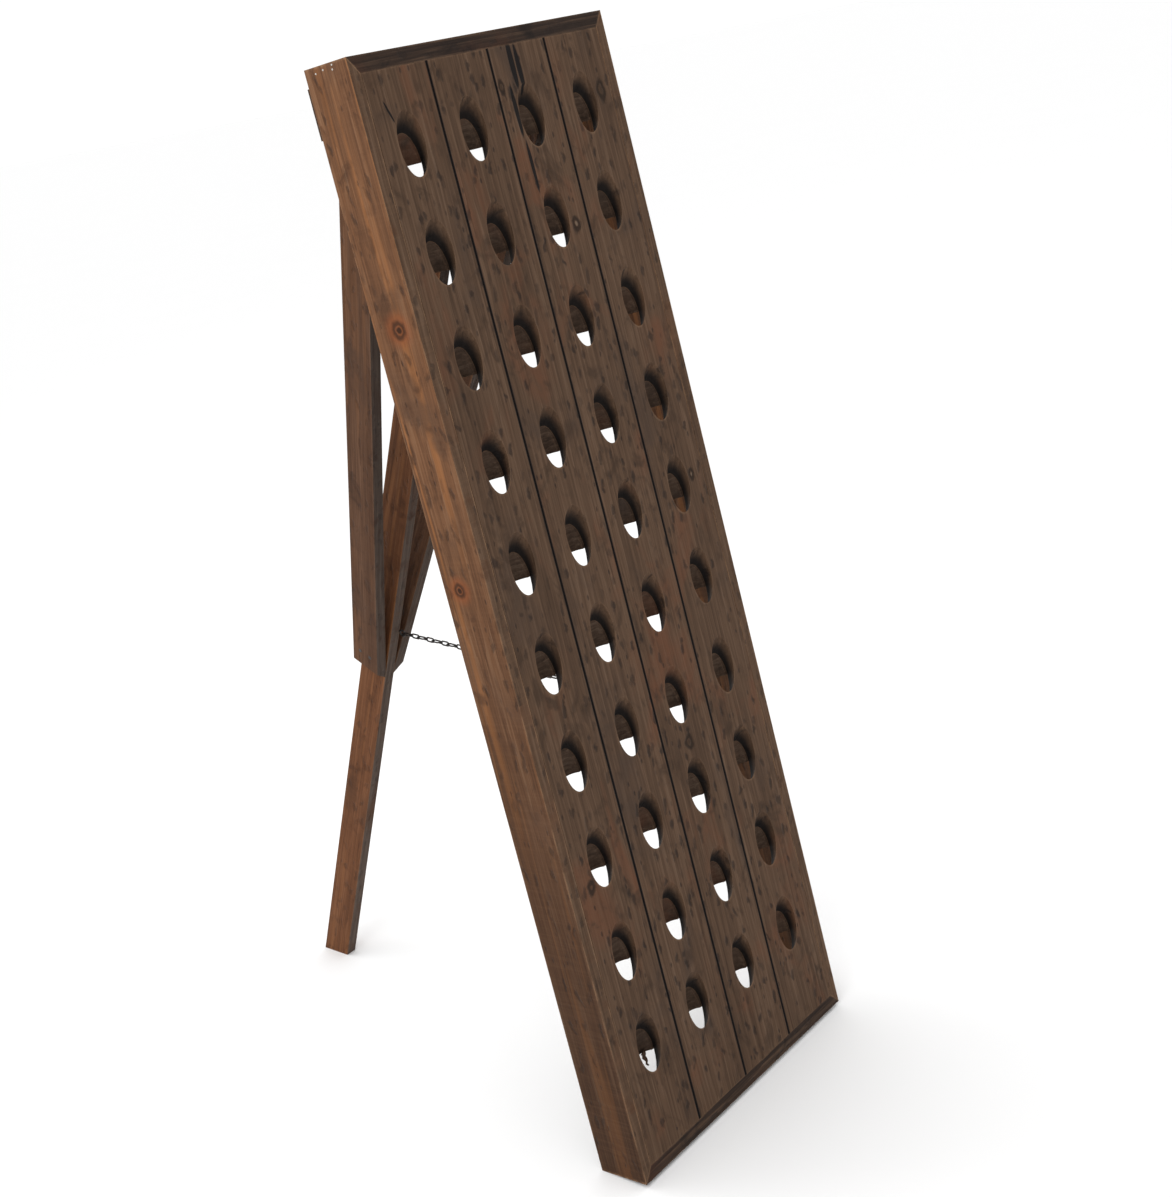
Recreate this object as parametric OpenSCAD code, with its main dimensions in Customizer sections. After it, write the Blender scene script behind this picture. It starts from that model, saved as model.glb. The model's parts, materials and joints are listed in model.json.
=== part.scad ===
// Riddling rack: a framed board with forty sloping neck holes, leaning back on
// a folding easel stand that a short chain stops.
// Front is -Y, back is +Y, +Z is up, and the origin is the middle of the footprint.
// Board coordinates: x across, u up the board from its foot, n out of the front
// face, with the front face at n = 0 and the back of the frame at n = -frame_d.
// Stand coordinates: s down the stand from its hinge axis, t away from the board.

/* [Frame] */
// Height of the framed board, measured up the board
board_h = 1660; // [1600:1:1720]
// Width over the two stiles
board_w = 512; // [500:1:540]
// Depth of the frame boards, front to back
frame_d = 89; // [86:1:96]
// Thickness of each stile
stile_t = 18; // [16:0.5:22]
// Thickness of the top rail
top_rail_t = 24; // [20:0.5:26]
// Thickness of the bottom rail
bottom_rail_t = 21; // [18:0.5:24]
// Angle that the board leans back from upright
lean = 4.5; // [4:0.1:6]

/* [Planks and holes] */
// Number of upright planks
plank_count = 4; // [4]
// Thickness of each plank
plank_t = 18; // [17:0.5:20]
// Gap between neighbouring planks
plank_gap = 1.6; // [1:0.1:3]
// Number of holes in each plank
hole_rows = 10; // [10]
// Distance between hole centres up the plank
hole_pitch = 149.5; // [145:0.5:151]
// Distance from the top of the board to the first hole centre
first_hole = 127; // [120:1:140]
// Diameter of the sloping bore
hole_d = 47.4; // [40:0.1:50]
// Slope of the bore, down and back from square to the face
hole_slope = 59; // [56:0.5:61]
// How far the holes sit to the left of each plank's middle
hole_shift = 3; // [0:0.5:5]

/* [Battens] */
// Thickness of the horizontal battens behind the planks
batten_t = 19; // [18:0.5:22]
// Height of each batten
batten_h = 64; // [60:1:68]
// Height of a batten's lower edge above the lowest point of the hole's front rim
batten_rise = 18; // [16:0.5:22]
// Slope of the neck groove in a batten, measured from the board's face
groove_slope = 14.3; // [13:0.1:15]

/* [Stand] */
// Opening angle of the stand, from the board's back
stand_open = 31; // [29:0.5:32]
// Thickness of the leg, the braces and the head
stand_t = 20; // [18:0.5:22]
// Depth of the leg, the braces and the head, front to back
stand_d = 60; // [56:1:64]
// How far the hinge axis lies behind the front faces of the stand
pivot_set = 40; // [38:0.5:42]
// Half the length of the stand's head
head_half = 198; // [194:1:204]
// Distance from the middle to a brace's outer face, at its lower tip
brace_tip_x = 31; // [29:1:34]
// Distance down the stand to a brace's lower tip
brace_tip_s = 1012; // [980:1:1040]
// Splay of each brace from the leg
brace_splay = 9.15; // [9:0.05:9.2]
// Slope of the cut across a brace's lower tip
brace_cut = 35; // [30:1:40]

/* [Hinge rail and hinges] */
// Height of the hinge rail
rail_h = 71; // [66:1:74]
// Thickness of the hinge rail
rail_t = 19; // [18:0.5:20]
// Distance from the top of the board down to the hinge rail's lower edge
rail_low = 95; // [92:1:98]
// How far the hinge rail stops short of the frame's outer faces
rail_inset = 13; // [11:0.5:14]
// Distance from the middle to each hinge
hinge_x = 130; // [110:1:150]
// Length of a hinge
hinge_len = 76; // [70:1:90]
// Outer diameter of a hinge knuckle
knuckle_d = 9; // [9:0.1:9.4]
// Diameter of a hinge pin
pin_d = 5; // [4.8:0.1:5.2]

/* [Chain] */
// Number of links in the chain
link_count = 14; // [14]
// Diameter of the chain's wire
wire_d = 2.6; // [2.2:0.1:2.8]
// Distance down the stand to the screw eye on the leg
eye_s = 934; // [925:1:940]
// Height of the board's screw eye up the board
eye_u = 664; // [650:1:668]

/* [Hidden] */
$fn = 64;
eps = 0.01;
cut = 1;

// Timber and metal colours
wood_front = [0.36, 0.28, 0.22];
wood_side = [0.46, 0.32, 0.22];
wood_back = [0.40, 0.29, 0.21];
wood_stand = [0.45, 0.28, 0.18];
steel_dark = [0.16, 0.15, 0.15];
steel_bright = [0.75, 0.74, 0.72];

inner_w = board_w - 2 * stile_t;
plank_pitch = inner_w / plank_count;
plank_w = plank_pitch - plank_gap;
plank_low = bottom_rail_t;
plank_high = board_h - top_rail_t;
hole_r = hole_d / 2;
rim_half_h = hole_r / cos(hole_slope);
function hole_x(col) = -inner_w / 2 + plank_pitch * (col + 0.5) - hole_shift;
function hole_u(row) = board_h - first_hole - hole_pitch * row;
function batten_low(row) = hole_u(row) - rim_half_h + batten_rise;

// The hinge axis stands off both timbers by the knuckle's radius and a running gap
leaf_seat = knuckle_d / 2 + 0.3;

// Hinge axis in board coordinates, and the resting angle of the stand from upright
pivot_u = board_h - rail_low;
pivot_n = -frame_d - rail_t - leaf_seat;
stand_angle = stand_open - lean;
pivot_y = pivot_u * sin(lean) - (pivot_n + frame_d) * cos(lean);
pivot_z = pivot_u * cos(lean) + (pivot_n + frame_d) * sin(lean);
stand_back = stand_d - pivot_set;
foot_s = (pivot_z + stand_back * sin(stand_angle)) / cos(stand_angle);
foot_y = pivot_y + foot_s * sin(stand_angle) + stand_back * cos(stand_angle);
mid_y = (foot_y - frame_d * cos(lean)) / 2;

head_s = leaf_seat;
member_s = head_s + stand_t;
brace_len = (brace_tip_s - member_s) / cos(brace_splay);

leaf_t = 2;
leaf_w = 18;
knuckle_count = 5;
knuckle_gap = 0.15;
pin_clear = 0.05;
screw_d = 3.5;
screw_head_d = 7;
screw_len = 14;
brad_head_d = 2.8;

// Chain: both eyes, and the straight line between them at rest. The half on the
// board runs in one lane and the half on the leg in the other, so that the two
// can hang side by side when the stand is folded.
eye_ring_r = 5.4;
eye_wire_d = wire_d + 0.2;
eye_reach = 8;
lane = 9.75;
leg_eye_t = -pivot_set - eye_reach;
board_eye_n = -plank_t - batten_t - eye_reach;
board_hook_n = board_eye_n - eye_ring_r;
leg_eye_u = pivot_u - eye_s * cos(stand_open) + leg_eye_t * sin(stand_open);
leg_eye_n = pivot_n - eye_s * sin(stand_open) - leg_eye_t * cos(stand_open);
chain_du = leg_eye_u - eye_u;
chain_dn = leg_eye_n - board_hook_n;
chain_len = sqrt(chain_du * chain_du + chain_dn * chain_dn) - eye_ring_r;
chain_rise = atan2(chain_du, -chain_dn);
loop_w = 9.5;
loop_play = 0.25;
loop_overlap = 2 * (wire_d + loop_play);
hook_past = eye_wire_d / 2;
hooked_len = chain_len + 2 * hook_past;
link_slant = asin(lane * link_count / hooked_len);
link_pitch = hooked_len / (link_count - 2 + 2 * cos(link_slant));

// Places board coordinates, with Y as -n and Z as u, in the part's frame
module on_board() {
    translate([0, -mid_y, 0])
        rotate([-lean, 0, 0])
            translate([0, -frame_d, 0])
                children();
}

// Places stand coordinates, with Y as t and Z as -s, in the part's frame
module on_stand() {
    translate([0, pivot_y - mid_y, pivot_z])
        rotate([stand_angle, 0, 0])
            children();
}

// One frame board's mitred end view, drawn in x and u and given the frame's depth
module frame_piece(points) {
    rotate([90, 0, 0])
        translate([0, 0, -frame_d])
            linear_extrude(height = frame_d)
                polygon(points);
}

module stile(side) {
    out = side * board_w / 2;
    in = side * inner_w / 2;
    color(wood_side)
        on_board()
            frame_piece([[out, 0], [out, board_h], [in, plank_high], [in, plank_low]]);
}

module top_rail() {
    color(wood_front)
        on_board()
            frame_piece([
                [-board_w / 2, board_h], [board_w / 2, board_h],
                [inner_w / 2, plank_high], [-inner_w / 2, plank_high]
            ]);
}

module bottom_rail() {
    color(wood_front)
        on_board()
            frame_piece([
                [-board_w / 2, 0], [board_w / 2, 0],
                [inner_w / 2, plank_low], [-inner_w / 2, plank_low]
            ]);
}

// Sloping bore through a plank, centred on its front rim
module neck_bore() {
    bore_l = 2 * (plank_t + hole_r * tan(hole_slope) + hole_r) / cos(hole_slope);
    rotate([-90 - hole_slope, 0, 0])
        cylinder(d = hole_d, h = bore_l, center = true);
}

module plank(col) {
    left = -inner_w / 2 + plank_pitch * col + plank_gap / 2;
    color(wood_front)
        on_board()
            difference() {
                translate([left, 0, plank_low])
                    cube([plank_w, plank_t, plank_high - plank_low]);
                for (row = [0 : hole_rows - 1])
                    translate([hole_x(col), 0, hole_u(row)])
                        neck_bore();
            }
}

// Shallow groove that lets a neck pass down the front of a batten. It starts at
// the top of the bore's back rim and is deepest at the batten's lower edge.
module neck_groove(row) {
    top_u = hole_u(row) + rim_half_h - plank_t * tan(hole_slope);
    axis_y = plank_t - hole_r / cos(groove_slope);
    groove_l = 2 * batten_h + 4 * hole_r;
    translate([0, axis_y, top_u])
        rotate([groove_slope, 0, 0])
            cylinder(d = hole_d, h = groove_l, center = true);
}

module batten(row) {
    color(wood_back)
        on_board()
            difference() {
                translate([-inner_w / 2, plank_t, batten_low(row)])
                    cube([inner_w, batten_t, batten_h]);
                for (col = [0 : plank_count - 1])
                    translate([hole_x(col), 0, 0])
                        neck_groove(row);
            }
}

module hinge_rail() {
    color(wood_back) difference() {
        on_board()
            translate([-board_w / 2 + rail_inset, frame_d, pivot_u])
                cube([board_w - 2 * rail_inset, rail_t, rail_h]);
        for (side = [-1, 1])
            rail_leaf_place(side)
                screw_places()
                    pilot_hole();
    }
}

module stand_head() {
    color(wood_stand) difference() {
        on_stand()
            translate([-head_half, -pivot_set, -member_s])
                cube([2 * head_half, stand_d, stand_t]);
        for (side = [-1, 1])
            stand_leaf_place(side)
                screw_places()
                    pilot_hole();
    }
}

module stand_leg() {
    color(wood_stand)
        difference() {
            on_stand()
                translate([-stand_t / 2, -pivot_set, -foot_s - stand_d])
                    cube([stand_t, stand_d, foot_s + stand_d - member_s]);
            translate([-stand_t, -board_h, -2 * stand_d])
                cube([2 * stand_t, 3 * board_h, 2 * stand_d]);
        }
}

// Brace from the head down to the leg, bevelled to lie on the leg's side and cut
// off at its tip on a slope that falls towards the leg
module brace(side) {
    color(wood_stand)
        on_stand()
            difference() {
                translate([side * brace_tip_x, -pivot_set, -brace_tip_s])
                    rotate([0, side * brace_splay, 0])
                        translate([side > 0 ? -stand_t : 0, 0, -stand_d])
                            cube([stand_t, stand_d, brace_len + 2 * stand_d]);
                translate([side * (stand_t / 2 - board_w), 0, 0])
                    translate([side > 0 ? 0 : -board_w, -pivot_set - cut, -2 * brace_tip_s])
                        cube([board_w, stand_d + 2 * cut, 2 * brace_tip_s]);
                translate([-board_w / 2, -pivot_set - cut, -member_s])
                    cube([board_w, stand_d + 2 * cut, stand_d * 4]);
                translate([side * brace_tip_x, -pivot_set - cut, -brace_tip_s])
                    rotate([0, -side * brace_cut, 0])
                        translate([-stand_d * 2, 0, -stand_d * 4])
                            cube([stand_d * 4, stand_d + 2 * cut, stand_d * 4]);
            }
}

// Knuckles of one hinge leaf along X: every second one, starting at first
module knuckles(first) {
    step = hinge_len / knuckle_count;
    for (i = [first : 2 : knuckle_count - 1])
        translate([-hinge_len / 2 + i * step + knuckle_gap, 0, 0])
            rotate([0, 90, 0])
                cylinder(d = knuckle_d, h = step - 2 * knuckle_gap);
}

// Plate of a hinge leaf from its knuckle line, standing up Z, notched for the other leaf
module leaf_plate(first) {
    step = hinge_len / knuckle_count;
    difference() {
        translate([-hinge_len / 2, -leaf_seat, 0])
            cube([hinge_len, leaf_t, leaf_w]);
        for (i = [1 - first : 2 : knuckle_count - 1])
            translate([-hinge_len / 2 + i * step - knuckle_gap, -leaf_seat - cut, -cut])
                cube([step + 2 * knuckle_gap, leaf_t + 2 * cut, leaf_seat + cut]);
        screw_places() cylinder(d = screw_d, h = 4 * leaf_t, center = true);
    }
}

// Three screw positions on a leaf plate, with Z out of the plate
module screw_places() {
    for (i = [-1 : 1])
        translate([i * hinge_len / 3, -leaf_seat, leaf_w * 0.68])
            rotate([-90, 0, 0])
                children();
}

module hinge_leaf(first) {
    difference() {
        union() {
            leaf_plate(first);
            knuckles(first);
        }
        rotate([0, 90, 0])
            cylinder(d = pin_d + 2 * pin_clear, h = hinge_len + 2 * cut, center = true);
    }
}

// Hole in the timber for a leaf's screw
module pilot_hole() {
    translate([0, 0, -screw_len - 0.5])
        cylinder(d = screw_d, h = screw_len + 1);
}

// Rail leaf lies on the back of the hinge rail, stand leaf on top of the head
module rail_leaf_place(side) {
    on_board()
        translate([side * hinge_x, -pivot_n, pivot_u])
            children();
}

module stand_leaf_place(side) {
    on_stand()
        translate([side * hinge_x, 0, 0])
            rotate([-90, 0, 0])
                mirror([0, 1, 0])
                    children();
}

module rail_leaf(side) {
    color(steel_dark)
        rail_leaf_place(side)
            hinge_leaf(0);
}

module stand_leaf(side) {
    color(steel_dark)
        stand_leaf_place(side)
            hinge_leaf(1);
}

module hinge_pin(side) {
    color(steel_dark)
        rail_leaf_place(side)
            rotate([0, 90, 0])
                union() {
                    cylinder(d = pin_d, h = hinge_len + 2 * eps, center = true);
                    translate([0, 0, hinge_len / 2])
                        cylinder(d = pin_d + 2, h = 1.5);
                    translate([0, 0, -hinge_len / 2 - 1.5])
                        cylinder(d = pin_d + 2, h = 1.5);
                }
}

module rail_leaf_screws() {
    color(steel_dark)
        for (side = [-1, 1])
            rail_leaf_place(side)
                screw_places()
                    leaf_screw_body();
}

module stand_leaf_screws() {
    color(steel_dark)
        for (side = [-1, 1])
            stand_leaf_place(side)
                screw_places()
                    leaf_screw_body();
}

// Screw of a leaf, standing on the plate's outer face at Z = leaf_t
module leaf_screw_body() {
    rotate_extrude()
        polygon([
            [0, leaf_t + 1.3], [screw_head_d / 2 - 1, leaf_t + 1.3], [screw_head_d / 2, leaf_t],
            [screw_d / 2 - 0.05, leaf_t], [screw_d / 2 - 0.05, -screw_len], [0, -screw_len]
        ]);
}

// Four screws that hold the hinge rail's ends to the backs of the stiles
module rail_screws() {
    end_x = board_w / 2 - rail_inset - 5;
    color(steel_dark)
        on_board()
            for (x = [-end_x, end_x], k = [0.25, 0.75])
                translate([x, frame_d + rail_t, pivot_u + k * rail_h])
                    rotate([-90, 0, 0])
                        flush_head(screw_head_d);
}

// Head of a driven screw, the only part of it outside the timber
module flush_head(d) {
    rotate_extrude()
        polygon([[0, 0], [d / 2, 0], [d / 2 - 0.4, 0.5], [0, 0.5]]);
}

// Screws down through the head into the leg and the two braces
module head_screws() {
    brace_x = brace_tip_x + brace_len * sin(brace_splay) - stand_t / 2;
    color(steel_dark)
        on_stand()
            for (x = [-brace_x, 0, brace_x], y = [-pivot_set + 12, -pivot_set + 32])
                translate([x, y, -head_s])
                    flush_head(screw_head_d);
}

// Two screws through each brace's tip into the leg
module brace_screws() {
    color(steel_dark)
        on_stand()
            for (side = [-1, 1], y = [-pivot_set + 18, stand_back - 18])
                translate([side * brace_tip_x, y, -brace_tip_s])
                    rotate([0, side * brace_splay, 0])
                        translate([0, 0, 30])
                            rotate([0, side * 90, 0])
                                flush_head(screw_head_d);
}

// One screw through each batten into each plank, from the back
module batten_screws() {
    screw_u = batten_h * 0.62;
    color(steel_dark)
        on_board()
            for (row = [0 : hole_rows - 1], col = [0 : plank_count - 1])
                translate([hole_x(col) + 42, plank_t + batten_t, batten_low(row) + screw_u])
                    rotate([-90, 0, 0])
                        flush_head(screw_head_d);
}

// Bright brads through each stile into the end of the top rail
module top_brads() {
    spots = [[9, 67], [7, 51], [4, 31], [10, 32]];
    color(steel_bright)
        on_board()
            for (side = [-1, 1], p = spots)
                translate([side * board_w / 2, p[1], board_h - p[0]])
                    rotate([0, side * 90, 0])
                        flush_head(brad_head_d);
}

// Screw eye with its shank along +Y and its ring at the origin, turned about the shank
module screw_eye(turn) {
    rotate([0, turn, 0]) {
        rotate([0, 90, 0])
            rotate_extrude()
                translate([eye_ring_r, 0])
                    circle(d = eye_wire_d, $fn = 24);
        translate([0, eye_ring_r, 0])
            rotate([-90, 0, 0])
                cylinder(d = eye_wire_d, h = eye_reach - eye_ring_r, $fn = 24);
    }
}

module board_eye() {
    color(steel_dark)
        on_board()
            translate([-lane, -board_eye_n, eye_u])
                mirror([0, 1, 0])
                    screw_eye(90);
}

module leg_eye() {
    color(steel_dark)
        on_stand()
            translate([lane, leg_eye_t, -eye_s])
                screw_eye(0);
}

// One wire loop in the XY plane, its far end half an overlap past the link's end
module wire_loop() {
    r = (loop_w - wire_d) / 2;
    near_y = 1.2 + loop_w / 2;
    far_y = (link_pitch + loop_overlap) / 2 - loop_w / 2;
    translate([0, near_y, 0])
        rotate([0, 0, 180])
            bend(r);
    translate([0, far_y, 0])
        bend(r);
    for (x = [-r, r])
        translate([x, near_y, 0])
            rotate([-90, 0, 0])
                cylinder(d = wire_d, h = far_y - near_y, $fn = 24);
}

module bend(r) {
    rotate_extrude(angle = 180)
        translate([r, 0])
            circle(d = wire_d, $fn = 24);
}

// One double-loop link along Y: two loops a quarter turn apart, tied in the middle
module chain_link() {
    wire_loop();
    rotate([0, 90, 0])
        mirror([0, 1, 0])
            wire_loop();
    rotate([-90, 0, 0])
        cylinder(d = wire_d * 2.1, h = 4.4, center = true);
}

// Distance along the chain to the middle of link i. A slanting link covers less.
function link_y(i) = link_pitch
    * (i + 0.5 - (1 - cos(link_slant)) * min(max(i - link_count / 2 + 1.5, 0), 2));

// Link number i, counted from the board's eye, in the chain's own line along Y. The
// two middle links slant from one lane to the other.
module placed_link(i) {
    middle = link_count / 2;
    slanted = i == middle || i == middle - 1;
    side = i < middle ? -1 : 1;
    translate([side * (slanted ? lane / 2 : lane), link_y(i) - hook_past, 0])
        rotate([0, 0, slanted ? -link_slant : 0])
            chain_link();
}

// Links first to last of the chain, counted from the board's eye
module chain_run(first, last) {
    color(steel_dark)
        on_board()
            translate([0, -board_hook_n, eye_u])
                rotate([chain_rise, 0, 0])
                    for (i = [first : last])
                        placed_link(i);
}

stile(-1);  // left_stile
stile(1);  // right_stile
top_rail();
bottom_rail();
plank(0);  // plank_1
plank(1);  // plank_2
plank(2);  // plank_3
plank(3);  // plank_4
batten(0);  // batten_01
batten(1);  // batten_02
batten(2);  // batten_03
batten(3);  // batten_04
batten(4);  // batten_05
batten(5);  // batten_06
batten(6);  // batten_07
batten(7);  // batten_08
batten(8);  // batten_09
batten(9);  // batten_10
hinge_rail();
stand_head();
stand_leg();
brace(-1);  // left_brace
brace(1);  // right_brace
rail_leaf(-1);  // left_hinge_rail_leaf
rail_leaf(1);  // right_hinge_rail_leaf
stand_leaf(-1);  // left_hinge_stand_leaf
stand_leaf(1);  // right_hinge_stand_leaf
hinge_pin(-1);  // left_hinge_pin
hinge_pin(1);  // right_hinge_pin
rail_leaf_screws();
stand_leaf_screws();
rail_screws();
head_screws();
brace_screws();
batten_screws();
top_brads();
board_eye();
leg_eye();
chain_run(0, 6);  // board_chain
chain_run(7, 13);  // leg_chain
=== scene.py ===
"""Studio scene of a wooden bottle-riddling rack on a folding easel stand."""
import json
from math import cos, pi, radians, sin

import bmesh
import bpy
from mathutils import Matrix, Vector


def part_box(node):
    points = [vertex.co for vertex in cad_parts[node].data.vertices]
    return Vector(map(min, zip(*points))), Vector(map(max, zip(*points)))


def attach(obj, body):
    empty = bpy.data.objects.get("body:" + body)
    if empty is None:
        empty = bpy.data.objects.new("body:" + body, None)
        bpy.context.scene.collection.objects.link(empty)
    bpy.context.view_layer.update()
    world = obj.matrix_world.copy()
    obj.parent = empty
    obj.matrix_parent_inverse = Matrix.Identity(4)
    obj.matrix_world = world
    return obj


# The rack's own angles and boards, in metres, as the frame has them
LEAN = radians(4.5)  # the board's lean from upright
STAND = radians(26.5)  # the stand's angle from upright
SPLAY = radians(9.15)  # each brace's angle from the leg
FRAME_D = 0.089
BOARD_H = 1.660
INNER_W = 0.476
PLANK_T = 0.018
FIRST_HOLE = 0.127  # from the board's top edge to the middle of the first row
HOLE_PITCH = 0.1495
HOLE_SHIFT = 0.003  # how far the holes sit to the left of each plank's middle

# The camera: lens and sensor in millimetres, and how far the view is shifted down, in frame heights
LENS = 51.56391
SENSOR = 36.0
SHIFT_DOWN = 0.1491228
CAMERA_AT = (-1.752, -2.126, 1.644)
CAMERA_RIGHT = (0.65037, -0.73700, -0.18402)
CAMERA_UP = (0.28698, 0.01410, 0.95784)
CAMERA_FORWARD = (0.70332, 0.67575, -0.22067)

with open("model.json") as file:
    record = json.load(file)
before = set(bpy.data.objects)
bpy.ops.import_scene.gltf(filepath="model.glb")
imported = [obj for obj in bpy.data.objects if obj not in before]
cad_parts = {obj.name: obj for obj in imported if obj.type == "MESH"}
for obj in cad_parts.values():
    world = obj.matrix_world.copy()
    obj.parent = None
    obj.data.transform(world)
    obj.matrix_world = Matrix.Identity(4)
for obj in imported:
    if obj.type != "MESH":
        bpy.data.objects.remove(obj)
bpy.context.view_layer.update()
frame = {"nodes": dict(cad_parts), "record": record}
nodes = frame["nodes"]
PLANKS = sorted(n for n in nodes if n.startswith("plank_"))
BATTENS = sorted(n for n in nodes if n.startswith("batten_") and n[-1].isdigit())
board_back_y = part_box("left_stile")[0][1] + FRAME_D * cos(LEAN)
hinge_at = next(j for j in frame["record"]["behaviour"]["joints"] if j["name"] == "stand_fold")["pos_m"]


def board_point(x, u, n):
    """A point of the board in the frame: across, up the board, and out of its front face."""
    back = -(n + FRAME_D)
    return Vector((x, board_back_y + back * cos(LEAN) + u * sin(LEAN), u * cos(LEAN) - back * sin(LEAN)))


def hole_centre(column, row):
    """Middle of a hole's front rim, both counted from 1, as (x, u)."""
    pitch = INNER_W / len(PLANKS)
    x = -INNER_W / 2 + pitch * (column - 0.5) - HOLE_SHIFT
    return x, BOARD_H - FIRST_HOLE - HOLE_PITCH * (row - 1)


# ---------------------------------------------------------------- shader helpers


class Shader:
    """A material's node tree, with one short method for each kind of node."""

    def __init__(self, name):
        self.material = bpy.data.materials.new(name)
        self.material.use_nodes = True
        self.tree = self.material.node_tree
        self.surface = self.tree.nodes["Principled BSDF"]

    def put(self, socket, value):
        if isinstance(value, bpy.types.NodeSocket):
            self.tree.links.new(value, socket)
        else:
            socket.default_value = value

    def node(self, kind, settings=(), **inputs):
        made = self.tree.nodes.new(kind)
        for key, value in dict(settings).items():
            setattr(made, key, value)
        for key, value in inputs.items():
            self.put(made.inputs[key.replace("_", " ")], value)
        return made

    def math(self, operation, a, b=0.0):
        made = self.node("ShaderNodeMath", {"operation": operation})
        self.put(made.inputs[0], a)
        self.put(made.inputs[1], b)
        return made.outputs[0]

    def ramp_value(self, value, low, high, to_low=0.0, to_high=1.0):
        made = self.node("ShaderNodeMapRange", {"interpolation_type": "SMOOTHSTEP"}, Value=value)
        limits = {"From Min": low, "From Max": high, "To Min": to_low, "To Max": to_high}
        for name, number in limits.items():
            made.inputs[name].default_value = number
        return made.outputs["Result"]

    def mix(self, factor, a, b, blend="MIX"):
        made = self.node("ShaderNodeMix", {"data_type": "RGBA", "blend_type": blend})
        self.put(made.inputs["Factor"], factor)
        for socket, colour in ((made.inputs[6], a), (made.inputs[7], b)):
            self.put(socket, colour if isinstance(colour, bpy.types.NodeSocket) else (*colour, 1))
        return made.outputs[2]

    def mapping(self, vector, scale=(1, 1, 1), location=(0, 0, 0), rotation=(0, 0, 0)):
        made = self.node("ShaderNodeMapping", Vector=vector)
        made.inputs["Scale"].default_value = scale
        made.inputs["Location"].default_value = location
        made.inputs["Rotation"].default_value = rotation
        return made.outputs["Vector"]

    def noise(self, vector, scale, detail=4.0, roughness=0.55, distortion=0.0):
        made = self.node("ShaderNodeTexNoise", Vector=vector, Scale=scale, Detail=detail)
        made.inputs["Roughness"].default_value = roughness
        made.inputs["Distortion"].default_value = distortion
        return made.outputs["Fac"]

    def spots(self, vector, scale, size, share):
        """Soft spots at random places, on faces that run along Z: up to 1 inside and 0 outside."""
        place = self.node("ShaderNodeSeparateXYZ", Vector=vector)
        level = self.math("ADD", place.outputs["X"], place.outputs["Y"])
        flat = self.node("ShaderNodeCombineXYZ", X=level, Y=place.outputs["Z"])
        made = self.node("ShaderNodeTexVoronoi", {"voronoi_dimensions": "2D"}, Vector=flat.outputs[0],
                         Scale=scale)
        chosen = self.node("ShaderNodeSeparateColor", Color=made.outputs["Color"])
        near = self.ramp_value(made.outputs["Distance"], size, size * 0.35)
        near = self.math("MULTIPLY", near, self.math("LESS_THAN", chosen.outputs[0], share))
        return self.math("MULTIPLY", near, self.ramp_value(chosen.outputs[1], 0, 1, 0.3, 1))

    def worn_edges(self, radius):
        """1 on an outside or inside corner that is sharper than the radius."""
        bevel = self.node("ShaderNodeBevel", {"samples": 4}, Radius=radius)
        normal = self.node("ShaderNodeNewGeometry").outputs["Normal"]
        made = self.node("ShaderNodeVectorMath", {"operation": "DOT_PRODUCT"})
        self.put(made.inputs[0], bevel.outputs[0])
        self.put(made.inputs[1], normal)
        return self.ramp_value(made.outputs["Value"], 0.995, 0.86)


# ---------------------------------------------------------------- materials

# near-black painted shade, for the insides of the bores, the seams between planks and the cracks
PAINTED_SHADE_BLACK = (0.004, 0.003, 0.003)
BRUISE = (0.014, 0.009, 0.007)  # dents and nicks, dark with old dirt
ORANGE = (0.300, 0.120, 0.040)
HALO = (0.210, 0.062, 0.020)  # resin around a knot
TORN = (0.130, 0.092, 0.064)  # a knot with its face torn off
BARE_WOOD = (0.17, 0.10, 0.058)
STILE_EDGE = (0.27, 0.155, 0.085)
SEED_STEPS = (0.731, 0.417, 1.377)  # how far a unit of seed moves the grain, in metres
DENT_WAYS = ((0.5, 0.26), (-0.65, 0.26), (0.08, 0.14))  # turn, and share of cells with a dent
FOOT_DARK_FROM = 1.20  # heights up the board between which a stile darkens
FOOT_DARK_TO = 0.15
UP_BOARD = "up the board"
ACROSS_BOARD = "across the board"
DOWN_STAND = "down the stand"


def timber_coordinates(shader, way, splay=0.0):
    """Coordinates with the grain along Z, from the board's or the stand's own axes."""
    place = shader.node("ShaderNodeTexCoord").outputs["Object"]
    if way == DOWN_STAND:
        moved = shader.mapping(place, location=[-c for c in hinge_at])
        turned = shader.mapping(moved, rotation=(-STAND, 0, 0))
        return shader.mapping(turned, rotation=(0, -splay, 0))
    moved = shader.mapping(place, location=(0, -board_back_y, 0))
    local = shader.mapping(moved, rotation=(LEAN, 0, 0))
    if way == ACROSS_BOARD:
        return shader.mapping(local, rotation=(0, pi / 2, 0))
    return local


def scaled(colour, factor):
    return [c * factor for c in colour]


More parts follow.
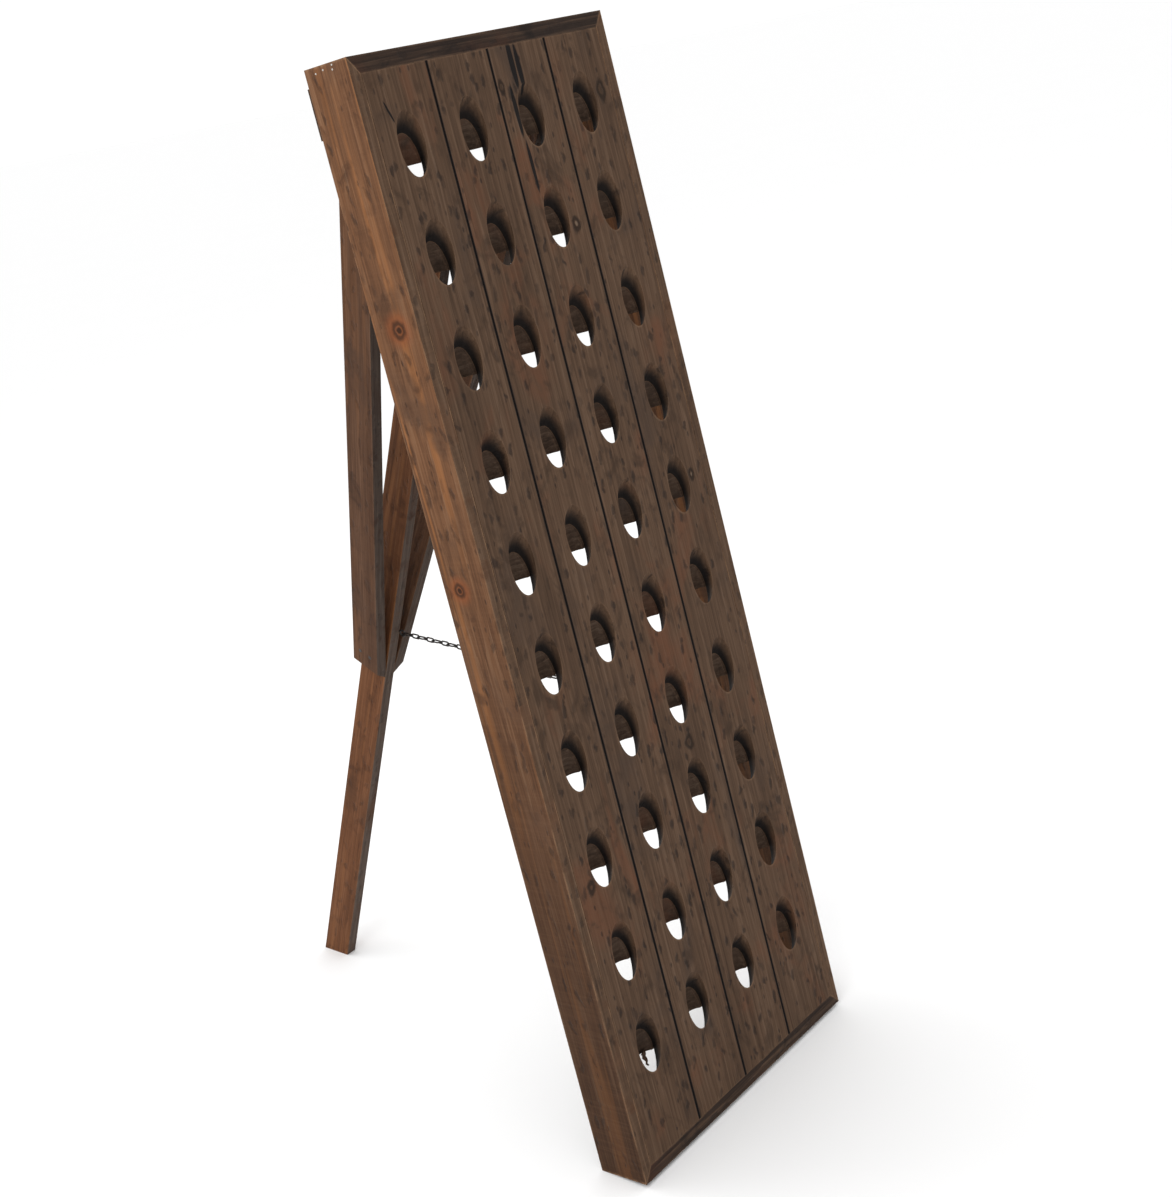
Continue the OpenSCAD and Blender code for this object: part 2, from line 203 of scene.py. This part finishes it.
class Timber(Shader):
    """Old dark-stained softwood, laid on in layers of colour and height.

    tones are its dark, middle and light colours.
    """

    def __init__(self, name, way, tones, seed, splay):
        super().__init__(name)
        self.tones = tones
        self.local = timber_coordinates(self, way, splay)
        self.shifted = self.mapping(self.local, location=[seed * step for step in SEED_STEPS])
        self.fine = self.noise(self.mapping(self.shifted, scale=(330, 330, 9)), 1.0, 5.0, 0.65, 0.3)
        self.streak = self.noise(self.mapping(self.shifted, scale=(75, 75, 2.2)), 1.0, 5.0, 0.6, 0.6)
        broad = self.noise(self.mapping(self.shifted, scale=(17, 17, 1.7)), 1.0, 3.0, 0.5, 1.2)
        bend = self.mapping(self.shifted, scale=(1, 1, 0.075))
        rings = self.node("ShaderNodeTexWave", {"bands_direction": "X", "wave_profile": "SAW"},
                          Vector=bend, Scale=26.0, Distortion=9.0, Detail=3.0)
        rings.inputs["Detail Scale"].default_value = 1.4
        grain = self.math("ADD", self.math("MULTIPLY", self.fine, 0.50),
                          self.math("MULTIPLY", self.streak, 0.22))
        grain = self.math("ADD", grain, self.math("MULTIPLY", broad, 0.26))
        self.grain = self.math("ADD", grain, self.math("MULTIPLY", rings.outputs["Fac"], 0.10))
        self.colour = self.tone_ramp(tones)
        self.height = self.math("ADD", self.math("MULTIPLY", self.fine, 0.35),
                                self.math("MULTIPLY", self.streak, 0.5))

    def tone_ramp(self, tones):
        """The grain's dark, middle and light colours."""
        ramp = self.node("ShaderNodeValToRGB", Fac=self.ramp_value(self.grain, 0.34, 0.79))
        ramp.color_ramp.elements[0].color = (*tones[0], 1)
        ramp.color_ramp.elements[1].color = (*tones[2], 1)
        middle = ramp.color_ramp.elements.new(0.5)
        middle.color = (*tones[1], 1)
        return ramp.outputs["Color"]

    def tint(self, share, colour, blend="MIX"):
        self.colour = self.mix(share, self.colour, colour, blend)

    def sink(self, mask, depth):
        """Lower the surface where the mask is 1."""
        self.height = self.math("SUBTRACT", self.height, self.math("MULTIPLY", mask, depth))

    def distance(self, vector):
        length = self.node("ShaderNodeVectorMath", {"operation": "LENGTH"})
        self.put(length.inputs[0], vector)
        return length.outputs["Value"]

    def orange_streaks(self, share):
        run = self.noise(self.mapping(self.shifted, scale=(42, 42, 1.3)), 1.0, 2.0, 0.5, 0.8)
        self.tint(self.ramp_value(run, 0.50, 0.66, 0, share), ORANGE)

    def dark_foot(self, share):
        """Darker towards the board's lower end, down to a share of its own lightness."""
        up = self.node("ShaderNodeSeparateXYZ", Vector=self.local).outputs["Z"]
        shade = self.ramp_value(up, FOOT_DARK_TO, FOOT_DARK_FROM, share, 1.0)
        grey = self.node("ShaderNodeCombineColor", Red=shade, Green=shade, Blue=shade).outputs[0]
        self.tint(1.0, grey, "MULTIPLY")

    def front_tones(self, tones):
        """Other tones on the faces that look forwards."""
        normal = self.node("ShaderNodeTexCoord").outputs["Normal"]
        facing = self.node("ShaderNodeSeparateXYZ", Vector=normal)
        self.tint(self.ramp_value(facing.outputs["Y"], -0.70, -0.85), self.tone_ramp(tones))

    def stains(self, reddish):
        red, green, blue = self.tones[1]
        blotch = self.noise(self.mapping(self.shifted, scale=(9, 9, 5)), 1.0, 4.0, 0.6, 0.5)
        if reddish:
            self.tint(self.ramp_value(blotch, 0.53, 0.72, 0, 0.7), (red * 1.35, green * 0.95, blue * 0.80))
        self.tint(self.ramp_value(blotch, 0.47, 0.28, 0, 0.8), (red * 0.62, green * 0.68, blue * 0.80))
        cloud = self.noise(self.mapping(self.shifted, scale=(30, 30, 17)), 1.0, 4.0, 0.6, 0.8)
        self.tint(self.ramp_value(cloud, 0.53, 0.72, 0, 0.7), scaled(self.tones[0], 0.8))

    def saw_marks(self, share):
        laid = self.mapping(self.shifted, scale=(6, 6, 260), rotation=(0.1, 0.07, 0))
        marks = self.noise(laid, 1.0, 2.0)
        self.height = self.math("ADD", self.height, self.math("MULTIPLY", marks, share))
        self.tint(self.ramp_value(marks, 0.42, 0.7, 0, share * 0.4), self.tones[2])

    def dents(self, share):
        """Long dents that lie three ways across the grain, and small nicks."""
        marks = None
        for turn, chosen in DENT_WAYS:
            laid = self.mapping(self.shifted, scale=(1, 1, 0.42), rotation=(0, turn, 0))
            crooked = self.noise(self.mapping(self.shifted, scale=(60, 60, 60)), 1.0, 2.0)
            pushed = self.node("ShaderNodeVectorMath", {"operation": "ADD"})
            self.put(pushed.inputs[0], laid)
            self.put(pushed.inputs[1], self.math("MULTIPLY", crooked, 0.008))
            spot = self.spots(pushed.outputs[0], 62.0, 0.30, chosen)
            marks = spot if marks is None else self.math("MAXIMUM", marks, spot)
        nicks = self.spots(self.mapping(self.shifted, scale=(1, 1, 0.4)), 130.0, 0.30, 0.10)
        marks = self.math("MAXIMUM", marks, nicks)
        self.tint(self.math("MULTIPLY", marks, share), BRUISE)
        self.sink(marks, 1.5)

    def knot(self, x, u, wide, tall, kind):
        """A knot in the board's face. Its mask counts in knot radii from its middle."""
        place = (-x / wide, 0, -u / tall)
        middle = self.mapping(self.local, location=place, scale=(1 / wide, 0, 1 / tall))
        wobble = self.noise(self.mapping(self.local, scale=(70, 70, 70)), 1.0, 3.0)
        away = self.math("ADD", self.distance(middle), self.math("MULTIPLY", wobble, 1.1))
        ring = self.math("MULTIPLY", self.ramp_value(away, 1.75, 1.25),
                         self.ramp_value(away, 0.75, 1.05))
        heart = self.ramp_value(away, 0.95, 0.65)
        self.tint(self.math("MULTIPLY", ring, 0.85), scaled(self.tones[0], 0.35))
        inner = TORN if kind == "torn" else scaled(self.tones[0], 0.8)
        self.tint(self.math("MULTIPLY", heart, 0.8), inner)
        self.sink(ring, 1.6)

    def side_knot(self, n, u, size):
        """A knot in a stile's side, placed by its depth and height."""
        back = -(n + FRAME_D)
        place = (0, -back / size, -u / size)
        middle = self.mapping(self.local, location=place, scale=(0, 1 / size, 1 / size))
        wobble = self.noise(self.mapping(self.local, scale=(90, 90, 90)), 1.0, 3.0)
        away = self.math("ADD", self.distance(middle), self.math("MULTIPLY", wobble, 0.6))
        self.tint(self.ramp_value(away, 3.4, 1.2, 0, 0.75), HALO)
        ring = self.math("MULTIPLY", self.ramp_value(away, 1.9, 1.2), self.ramp_value(away, 0.7, 1.1))
        self.tint(self.math("MULTIPLY", ring, 0.8), scaled(self.tones[0], 0.35))
        self.tint(self.ramp_value(away, 0.9, 0.55, 0, 0.9), scaled(self.tones[0], 0.22))
        self.sink(ring, 0.8)

    def crack(self, x, u, slant, long, wide):
        moved = self.mapping(self.local, location=(-x, 0, -u))
        line = self.mapping(moved, rotation=(0, slant, 0), scale=(1, 0, 1))
        line = self.mapping(line, scale=(1 / wide, 0, 1 / long))
        wavy = self.math("ADD", self.distance(line), self.math("MULTIPLY", self.streak, 0.8))
        split = self.ramp_value(wavy, 1.2, 1.0)
        # the split is painted black as shade inside the crack, and sunk in the bump
        self.tint(self.math("MULTIPLY", split, 0.97), PAINTED_SHADE_BLACK)
        self.sink(split, 2.5)

    def wear(self, edge, share):
        """Bare wood along the arrises, in patches."""
        worn = self.worn_edges(0.004)
        patchy = self.noise(self.mapping(self.shifted, scale=(80, 80, 30)), 1.0, 4.0)
        self.tint(self.math("MULTIPLY", worn, self.ramp_value(patchy, 0.38, 0.62, 0.1, share)), edge)

    def painted_shade_in_bores_and_seams(self, plank_x):
        """Painted shade: black deepening inside a plank's holes, and along the seams where it meets the
        next plank.
        """
        place = self.node("ShaderNodeSeparateXYZ", Vector=self.local)
        depth, across = place.outputs["Y"], place.outputs["X"]
        back = -FRAME_D + PLANK_T
        inside = self.ramp_value(depth, -FRAME_D + 0.001, -FRAME_D + 0.014)
        behind = self.ramp_value(depth, back - 0.0006, back - 0.0001)
        ahead = self.math("SUBTRACT", 1.0, behind)
        # painted shade inside each bore, darkening from 1 mm below the face and stopping at the plank's
        # back
        self.tint(self.math("MULTIPLY", self.math("MULTIPLY", inside, ahead), 0.96), PAINTED_SHADE_BLACK)
        aside = self.math("ABSOLUTE", self.math("SUBTRACT", across, plank_x))
        half = INNER_W / len(PLANKS) / 2
        # painted shade along the seams: black on the last 2 to 3 mm of each plank's face beside the next
        # plank
        seam = self.ramp_value(aside, half - 0.0030, half - 0.0020)
        seam = self.math("MULTIPLY", seam, ahead)
        aside = self.math("ABSOLUTE", across)
        within = self.ramp_value(aside, INNER_W / 2 - 0.004, INNER_W / 2 - 0.006)
        self.tint(self.math("MULTIPLY", self.math("MULTIPLY", seam, within), 0.97), PAINTED_SHADE_BLACK)

    def done(self):
        bump = self.node("ShaderNodeBump", Height=self.height)
        bump.inputs["Strength"].default_value = 0.55
        bump.inputs["Distance"].default_value = 0.0012
        self.put(self.surface.inputs["Base Color"], self.colour)
        self.put(self.surface.inputs["Roughness"], self.ramp_value(self.grain, 0.3, 0.8, 0.82, 0.66))
        self.put(self.surface.inputs["Normal"], bump.outputs["Normal"])
        self.surface.inputs["Specular IOR Level"].default_value = 0.14
        return self.material


def timber(name, way, tones, seed, splay=0.0, dents=0.0, knots=(), side_knots=(), cracks=(),
           plank_x=None, edge=BARE_WOOD, saw=0.0, edge_share=0.5, front=None, foot=None,
           streaks=0.0):
    """A board's material. dents, saw, edge_share and streaks are the strengths of those marks,
    foot is how light its lower end is beside its upper end, and front is its forward tones.
    """
    wood = Timber(name, way, tones, seed, splay)
    if streaks:
        wood.orange_streaks(streaks)
    if foot:
        wood.dark_foot(foot)
    if front:
        wood.front_tones(front)
    wood.stains(reddish=not front)
    if saw:
        wood.saw_marks(saw)
    if dents:
        wood.dents(dents)
    for knot in knots:
        wood.knot(*knot)
    for knot in side_knots:
        wood.side_knot(*knot)
    for crack in cracks:
        wood.crack(*crack)
    wood.wear(edge, edge_share)
    if plank_x is not None:
        wood.painted_shade_in_bores_and_seams(plank_x)
    return wood.done()


def dark_steel(name):
    """Blackened steel with brown rust in patches."""
    s = Shader(name)
    place = s.node("ShaderNodeTexCoord").outputs["Object"]
    rust = s.noise(place, 160.0, 5.0, 0.65)
    grit = s.noise(place, 900.0, 3.0)
    patches = s.ramp_value(rust, 0.50, 0.66)
    colour = s.mix(patches, (0.045, 0.042, 0.040), (0.085, 0.050, 0.032))
    bump = s.node("ShaderNodeBump", Height=s.math("ADD", grit, rust))
    bump.inputs["Strength"].default_value = 0.35
    bump.inputs["Distance"].default_value = 0.0003
    s.put(s.surface.inputs["Base Color"], colour)
    s.put(s.surface.inputs["Metallic"], s.ramp_value(patches, 0, 1, 0.95, 0.25))
    s.put(s.surface.inputs["Roughness"], s.ramp_value(rust, 0.35, 0.7, 0.34, 0.72))
    s.put(s.surface.inputs["Normal"], bump.outputs["Normal"])
    return s.material


def bright_steel(name):
    """Dull bright brads, a little tarnished."""
    s = Shader(name)
    place = s.node("ShaderNodeTexCoord").outputs["Object"]
    haze = s.noise(place, 700.0, 3.0)
    s.put(s.surface.inputs["Base Color"], s.mix(haze, (0.70, 0.68, 0.64), (0.38, 0.34, 0.30)))
    s.put(s.surface.inputs["Roughness"], s.ramp_value(haze, 0.3, 0.7, 0.28, 0.5))
    s.surface.inputs["Metallic"].default_value = 1.0
    return s.material


def floor_paint(name):
    """Matt white paint, very slightly uneven."""
    s = Shader(name)
    place = s.node("ShaderNodeTexCoord").outputs["Object"]
    colour = s.mix(s.noise(place, 1.2, 2.0), (0.94, 0.94, 0.94), (0.95, 0.95, 0.95))
    s.put(s.surface.inputs["Base Color"], colour)
    s.surface.inputs["Roughness"].default_value = 0.9
    return s.material


# ---------------------------------------------------------------- dressing the CAD parts


def paint(node, material):
    """Put one material on every face of a CAD node."""
    for place in nodes[node].material_slots:
        place.material = material


def soften(node, width, segments=2):
    """Round a sawn board's arrises a little."""
    worn = nodes[node].modifiers.new("worn arrises", "BEVEL")
    worn.width = width
    worn.segments = segments
    worn.limit_method = "ANGLE"
    worn.angle_limit = radians(50)
    worn.use_clamp_overlap = True


FRONT = ((0.043, 0.024, 0.014), (0.080, 0.045, 0.026), (0.117, 0.071, 0.044))
RAIL = ((0.009, 0.006, 0.005), (0.030, 0.017, 0.011), (0.080, 0.047, 0.028))
SIDE = ((0.078, 0.034, 0.016), (0.150, 0.067, 0.030), (0.220, 0.118, 0.062))
# tones for the battens, hinge rail and splinter behind the planks: their own colour, made somewhat darker
# as painted shade for the shadow they sit in
BACK_WITH_PAINTED_SHADE = ((0.024, 0.014, 0.009), (0.052, 0.031, 0.020), (0.090, 0.060, 0.041))
LEG = ((0.070, 0.026, 0.010), (0.129, 0.049, 0.019), (0.190, 0.085, 0.038))
BRACE = ((0.046, 0.020, 0.010), (0.086, 0.039, 0.019), (0.130, 0.065, 0.035))
STAND_FRONT = ((0.048, 0.033, 0.025), (0.085, 0.060, 0.047), (0.120, 0.090, 0.070))


def plank_knots():
    """Knots that show on each plank, as (x, u, half width, half height, kind)."""
    found = {1: [], 2: [], 3: [], 4: []}
    x, u = hole_centre(3, 2)
    found[3].append((x + 0.036, u - 0.020, 0.009, 0.013, "torn"))
    x, u = hole_centre(3, 7)
    found[3].append((x + 0.002, u - 0.078, 0.010, 0.014, "dark"))
    x, u = hole_centre(4, 5)
    found[4].append((x + 0.033, u + 0.004, 0.007, 0.011, "torn"))
    x, u = hole_centre(1, 8)
    found[1].append((x - 0.030, u - 0.034, 0.009, 0.012, "dark"))
    x, u = hole_centre(4, 1)
    found[4].append((x + 0.040, u + 0.012, 0.009, 0.020, "dark"))
    x, u = hole_centre(3, 1)
    found[3].append((x - 0.046, u + 0.046, 0.006, 0.012, "dark"))
    return found


def plank_cracks():
    """Drying cracks, as (x, u, slant, half length, half width)."""
    found = {1: [], 2: [], 3: [], 4: []}
    x, u = hole_centre(3, 1)
    for aside, up, long, wide in ((-0.014, 0.076, 0.056, 0.0080), (-0.002, 0.066, 0.050, 0.0070),
                                  (-0.028, 0.008, 0.058, 0.0065), (-0.024, -0.070, 0.060, 0.0050)):
        found[3].append((x + aside, u + up, 0.02, long, wide))
    x, u = hole_centre(1, 1)
    found[1].append((x - 0.026, u + 0.046, 0.35, 0.022, 0.0025))
    return found


def dress():
    """Give every CAD node its material, and every board its rounded arrises."""
    knots, cracks = plank_knots(), plank_cracks()
    for i, name in enumerate(PLANKS, 1):
        middle = INNER_W / len(PLANKS) * (i - 0.5) - INNER_W / 2
        look = timber(f"plank {i}", UP_BOARD, FRONT, 3.1 * i, dents=0.7, knots=knots[i],
                      cracks=cracks[i], plank_x=middle, edge_share=0.45)
        paint(name, look)
        soften(name, 0.0010)
    for name, seed in (("top_rail", 21.0), ("bottom_rail", 24.0)):
        paint(name, timber(name, ACROSS_BOARD, RAIL, seed, dents=0.5, edge_share=0.55))
        soften(name, 0.0022, 3)
    left_knots = ((-0.039, 1.296, 0.011), (-0.058, 0.922, 0.009))
    for name, seed, found in (("left_stile", 31.0, left_knots), ("right_stile", 35.0, ())):
        paint(name, timber(name, UP_BOARD, SIDE, seed, side_knots=found, saw=0.15, dents=0.5,
                           edge=STILE_EDGE, edge_share=0.7, front=FRONT, foot=0.36, streaks=0.55))
        soften(name, 0.0025, 3)
    for i, name in enumerate(BATTENS):
        paint(name, timber(name, ACROSS_BOARD, BACK_WITH_PAINTED_SHADE, 41.0 + 2.3 * i, saw=0.3, edge_share=0.4))
        soften(name, 0.0010)
    paint("hinge_rail", timber("hinge rail", ACROSS_BOARD, BACK_WITH_PAINTED_SHADE, 71.0, saw=0.3))
    paint("stand_head", timber("stand head", ACROSS_BOARD, BRACE, 75.0, saw=0.3))
    paint("stand_leg", timber("stand leg", DOWN_STAND, LEG, 81.0, saw=0.2, dents=0.3,
                              front=STAND_FRONT, streaks=0.3))
    for name, seed, splay in (("left_brace", 85.0, -SPLAY), ("right_brace", 88.0, SPLAY)):
        paint(name, timber(name, DOWN_STAND, BRACE, seed, splay, saw=0.2, dents=0.3,
                           front=STAND_FRONT, streaks=0.12))
    for name in ("hinge_rail", "stand_head", "stand_leg", "left_brace", "right_brace"):
        soften(name, 0.0018, 3)
    iron, brads = dark_steel("dark steel"), bright_steel("bright steel")
    slots = {part["node"]: part["material_slot"] for part in frame["record"]["subparts"]}
    for name, slot in slots.items():
        if slot == "dark_steel":
            paint(name, iron)
        elif slot == "bright_steel":
            paint(name, brads)


# ---------------------------------------------------------------- added pieces


def mesh_piece(name, build, material, body):
    """A new piece whose mesh is made by build(bmesh), riding on a body."""
    work = bmesh.new()
    build(work)
    data = bpy.data.meshes.new(name)
    work.to_mesh(data)
    work.free()
    piece = bpy.data.objects.new(name, data)
    bpy.context.scene.collection.objects.link(piece)
    data.materials.append(material)
    for face in data.polygons:
        face.use_smooth = True
    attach(piece, body)
    return piece


SLIVER_SIDES = 8


def sliver(work, points, widths, thin):
    """A torn sliver of wood along points, lens-shaped in section."""
    rings = []
    for i, point in enumerate(points):
        ahead = points[min(i + 1, len(points) - 1)] - points[max(i - 1, 0)]
        ahead.normalize()
        across = ahead.cross(Vector((0, -1, 0))).normalized()
        out = across.cross(ahead).normalized()
        turns = [2 * pi * k / SLIVER_SIDES for k in range(SLIVER_SIDES)]
        rings.append([
            work.verts.new(point + across * widths[i] * cos(a) + out * thin * sin(a)) for a in turns
        ])
    for low, high in zip(rings, rings[1:]):
        for k in range(SLIVER_SIDES):
            after = (k + 1) % SLIVER_SIDES
            work.faces.new((low[k], low[after], high[after], high[k]))
    work.faces.new(rings[0][::-1])
    work.faces.new(rings[-1])


def torn_splinter():
    """The splinter that hangs from the batten into the lowest hole on the left."""
    x, u = hole_centre(1, 10)
    steps = 7
    points = [
        board_point(x + 0.004 + 0.0015 * sin(2.2 * i), u - 0.024 - 0.0034 * i, -0.0225 + 0.0008 * i)
        for i in range(steps)
    ]
    widths = [0.0048 * (1 - i / steps) + 0.0006 for i in range(steps)]
    look = timber("torn splinter", UP_BOARD, BACK_WITH_PAINTED_SHADE, 95.0)
    mesh_piece("torn_splinter", lambda work: sliver(work, points, widths, 0.0011), look,
               "board")


# ---------------------------------------------------------------- studio


FLOOR_SIZE = 400
WORLD_STRENGTH = 1.05
LAMP_TARGET = Vector((0, 0, 0.8))
LAMPS = (  # name, place, size in metres, power in watts
    ("key", (-3.2, -1.6, 3.6), 2.0, 42),
    ("front", (1.5, -4.5, 2.6), 3.0, 12),
    ("behind", (-1.5, 3.5, 3.5), 3.0, 45),
)


def studio():
    """A white floor and world, and three soft lamps."""
    bpy.ops.mesh.primitive_plane_add(size=FLOOR_SIZE, location=(0, 0, 0))
    floor = bpy.context.object
    floor.name = "studio_floor"
    floor.data.materials.append(floor_paint("studio floor"))

    world = bpy.data.worlds.new("studio")
    bpy.context.scene.world = world
    world.use_nodes = True
    background = world.node_tree.nodes["Background"]
    background.inputs["Color"].default_value = (1, 1, 1, 1)
    background.inputs["Strength"].default_value = WORLD_STRENGTH

    for name, at, size, energy in LAMPS:
        light = bpy.data.lights.new(name, "AREA")
        light.size = size
        light.energy = energy
        lamp = bpy.data.objects.new(name, light)
        lamp.location = at
        lamp.rotation_euler = (LAMP_TARGET - Vector(at)).to_track_quat("-Z", "Y").to_euler()
        bpy.context.scene.collection.objects.link(lamp)
    bpy.context.scene.view_settings.view_transform = "Standard"


def camera():
    data = bpy.data.cameras.new("camera")
    data.sensor_width = SENSOR
    data.lens = LENS
    data.shift_y = -SHIFT_DOWN
    data.clip_end = 100
    view = bpy.data.objects.new("camera", data)
    back = [-c for c in CAMERA_FORWARD]
    axes = Matrix((CAMERA_RIGHT, CAMERA_UP, back)).transposed()
    view.matrix_world = Matrix.Translation(CAMERA_AT) @ axes.to_4x4()
    bpy.context.scene.collection.objects.link(view)
    bpy.context.scene.camera = view


camera()
dress()
torn_splinter()
studio()
